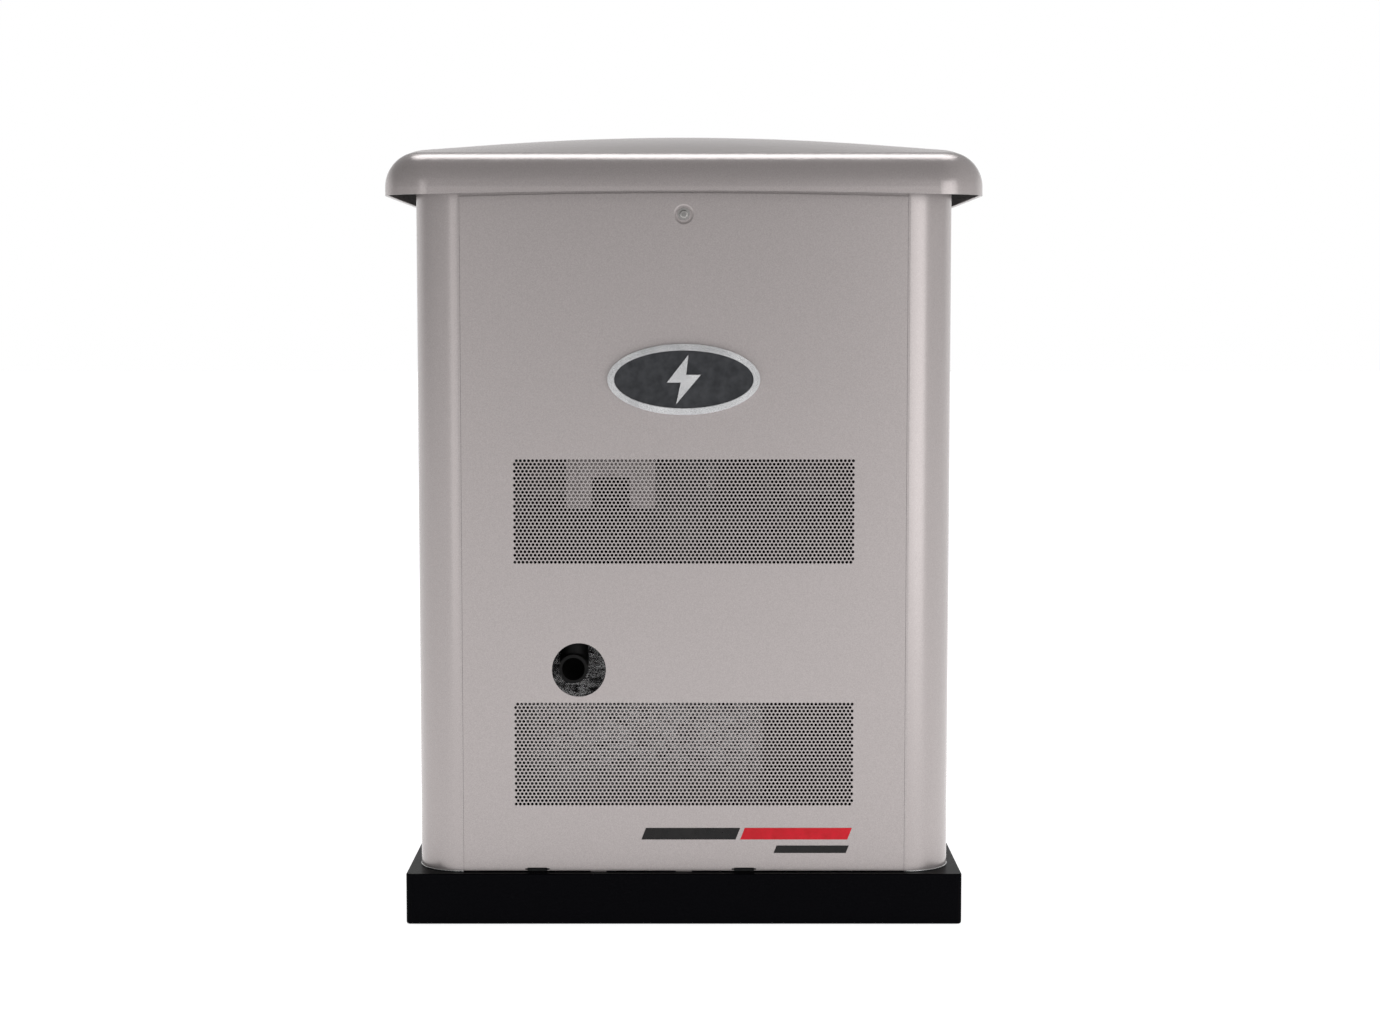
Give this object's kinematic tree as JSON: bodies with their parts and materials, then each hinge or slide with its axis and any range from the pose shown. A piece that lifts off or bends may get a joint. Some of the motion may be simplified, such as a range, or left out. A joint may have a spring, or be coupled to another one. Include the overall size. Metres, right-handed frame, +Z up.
{
  "type": "home standby generator",
  "caption": "Upright home standby generator: warm grey sheet-metal enclosure, domed overhanging roof, perforated front vents, round exhaust opening, black pad, engine and alternator inside.",
  "frame": {"origin": "bottom centre of the pad, on the ground", "axes": "+Z up, -Y out of the front panel with the vents, +X to the right seen from the front"},
  "size_m": [0.775, 0.724, 1.045],
  "materials": {
    "pad_composite": "smooth black composite with a slight sheen",
    "dark_primer": "dark primer on steel",
    "bracket_paint": "light grey paint",
    "exhaust_steel": "dark heat-tinted aluminised steel",
    "outlet_black": "black heat-proof paint",
    "zinc_plate": "zinc plated",
    "body_paint": "satin metallic warm grey powder coat",
    "badge_metal": "polished frame with enamel fields",
    "bright_steel": "bright stainless",
    "foam": "open-cell acoustic foam",
    "rubber": "black moulded rubber",
    "cast_alloy": "sand-cast aluminium in dark paint",
    "engine_black": "black engine enamel",
    "lamination": "stacked steel laminations",
    "machined_steel": "machined steel",
    "cast_grey": "dark grey iron",
    "copper_winding": "varnished copper wire",
    "ceramic_white": "glazed insulator",
    "cable_black": "rubber lead",
    "plastic_black": "grained black plastic",
    "plastic_grey": "grained grey plastic",
    "filter_paint": "black gloss enamel",
    "plastic_yellow": "yellow plastic",
    "foil": "crumpled foil facing",
    "regulator_paint": "dark grey enamel",
    "black_pipe": "black iron pipe",
    "lever_red": "red vinyl sleeve",
    "controller_grey": "grained enclosure",
    "display_glass": "dark display window",
    "button_green": "green button",
    "button_red": "red button",
    "plastic_white": "white toggle",
    "cable_red": "red and black battery cable"
  },
  "bodies": {
    "enclosure": {"air_cleaner": "plastic_black", "alternator_bracket": "cast_alloy", "base_pad": "pad_composite", "base_tray": "dark_primer", "battery": "plastic_black", "battery_cables": "cable_red", "blower_housing": "engine_black", "conduit_gland": "plastic_grey", "controller_box": "controller_grey", "crankcase": "cast_alloy", "cylinder_heads": "cast_alloy", "cylinders": "cast_alloy", "display_window": "display_glass", "exhaust_manifold": "exhaust_steel", "frame_members": "dark_primer", "fuel_pipe": "black_pipe", "gas_hose": "rubber", "gas_mixer": "cast_alloy", "gas_regulator": "regulator_paint", "hinge_brackets": "zinc_plate", "ignition_leads": "cable_black", "insulation_wrap": "foil", "isolators": "rubber", "left_side_panel": "body_paint", "main_breaker": "plastic_black", "muffler": "exhaust_steel", "oil_fill_tube": "plastic_black", "oil_filter": "filter_paint", "outlet_elbow": "outlet_black", "pad_screws": "zinc_plate", "rear_panel": "body_paint", "right_side_panel": "body_paint", "roof_seal": "rubber", "spark_plugs": "ceramic_white", "starter_motor": "engine_black", "stator_core": "lamination", "stator_windings": "copper_winding", "support_bracket": "bracket_paint", "top_frame": "body_paint", "valve_covers": "engine_black"},
    "roof_assembly": {"roof": "body_paint", "roof_liner": "foam", "hinge_leaves": "zinc_plate"},
    "front_door": {"front_panel": "body_paint", "upper_vent_screen": "body_paint", "lower_vent_screen": "body_paint", "badge": "badge_metal"},
    "fastener": {"panel_lock": "bright_steel"},
    "rotor": {"crankshaft": "machined_steel", "flywheel": "cast_grey", "rotor_core": "lamination", "rotor_windings": "copper_winding"},
    "pinion": {"starter_pinion": "machined_steel"},
    "run_button": {"button_run": "button_green"},
    "stop_button": {"button_stop": "button_red"},
    "toggle": {"breaker_toggle": "plastic_white"},
    "oil_dipstick": {"dipstick": "plastic_yellow"},
    "cleaner_knob": {"air_cleaner_knob": "plastic_grey"},
    "gas_lever": {"fuel_valve_lever": "lever_red"},
    "governor_lever": {"throttle_lever": "zinc_plate"}
  },
  "joints": [
    {"name": "roof_hinge", "type": "hinge", "parent": "enclosure", "child": "roof_assembly", "pos_m": [0, 0.345, 0.945], "axis": [-1, 0, 0], "range_deg": [0, 100]},
    {"name": "front_panel_tilt", "type": "hinge", "parent": "enclosure", "child": "front_door", "pos_m": [0, -0.326, 0.0685], "axis": [1, 0, 0], "range_deg": [0, 75]},
    {"name": "panel_lock_turn", "type": "hinge", "parent": "front_door", "child": "fastener", "pos_m": [0, -0.326, 0.928], "axis": [0, -1, 0], "range_deg": [-90, 0]},
    {"name": "crankshaft_spin", "type": "hinge", "parent": "enclosure", "child": "rotor", "pos_m": [0, 0.06, 0.3], "axis": [0, 0, 1], "continuous": true},
    {"name": "starter_pinion_spin", "type": "hinge", "parent": "enclosure", "child": "pinion", "pos_m": [0.137, 0.06, 0.52], "axis": [0, 0, 1], "continuous": true},
    {"name": "run_button_press", "type": "slide", "parent": "enclosure", "child": "run_button", "axis": [0, 0, -1], "range_m": [0, 0.003], "stiffness_N_per_m": 400},
    {"name": "stop_button_press", "type": "slide", "parent": "enclosure", "child": "stop_button", "axis": [0, 0, -1], "range_m": [0, 0.003], "stiffness_N_per_m": 400},
    {"name": "breaker_toggle_throw", "type": "hinge", "parent": "enclosure", "child": "toggle", "pos_m": [0.25, -0.233, 0.926], "axis": [1, 0, 0], "range_deg": [-25, 25]},
    {"name": "dipstick_pull", "type": "slide", "parent": "enclosure", "child": "oil_dipstick", "axis": [0, 0, 1], "range_m": [0, 0.24]},
    {"name": "air_cleaner_knob_turn", "type": "hinge", "parent": "enclosure", "child": "cleaner_knob", "pos_m": [0, -0.165, 0.7], "axis": [0, 0, 1], "range_deg": [0, 360]},
    {"name": "gas_valve_turn", "type": "hinge", "parent": "enclosure", "child": "gas_lever", "pos_m": [0.24, 0.287, 0.182], "axis": [0, 0, 1], "range_deg": [-90, 0]},
    {"name": "throttle_turn", "type": "hinge", "parent": "enclosure", "child": "governor_lever", "pos_m": [0.033, -0.165, 0.57], "axis": [1, 0, 0], "range_deg": [0, 50]}
  ]
}
